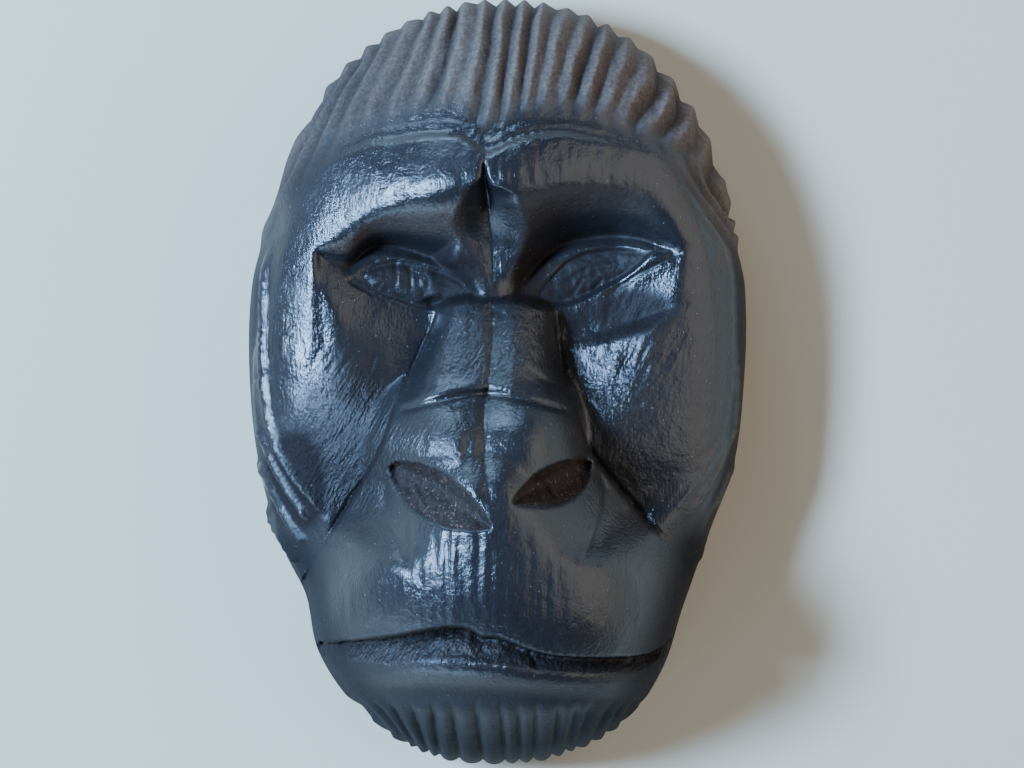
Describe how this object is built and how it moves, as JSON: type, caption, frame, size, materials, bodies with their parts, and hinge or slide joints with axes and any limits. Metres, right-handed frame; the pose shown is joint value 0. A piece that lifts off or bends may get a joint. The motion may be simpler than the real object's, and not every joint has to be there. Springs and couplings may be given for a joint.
{
  "type": "carved animal mask",
  "caption": "Small carved wooden mask of a gorilla's face with gouged hair, heavy brows, almond eyes, broad nose, wide mouth and a flat back.",
  "frame": {"origin": "centre of the bounding box on the flat back", "axes": "+Z out of the face, +Y towards the crown, +X to the right of someone looking at the face"},
  "size_m": [0.065, 0.1002, 0.0373],
  "materials": {
    "stained_wood": "black stain, rubbed to a low shine"
  },
  "bodies": {
    "root": {"gorilla_mask": "stained_wood"}
  },
  "joints": []
}
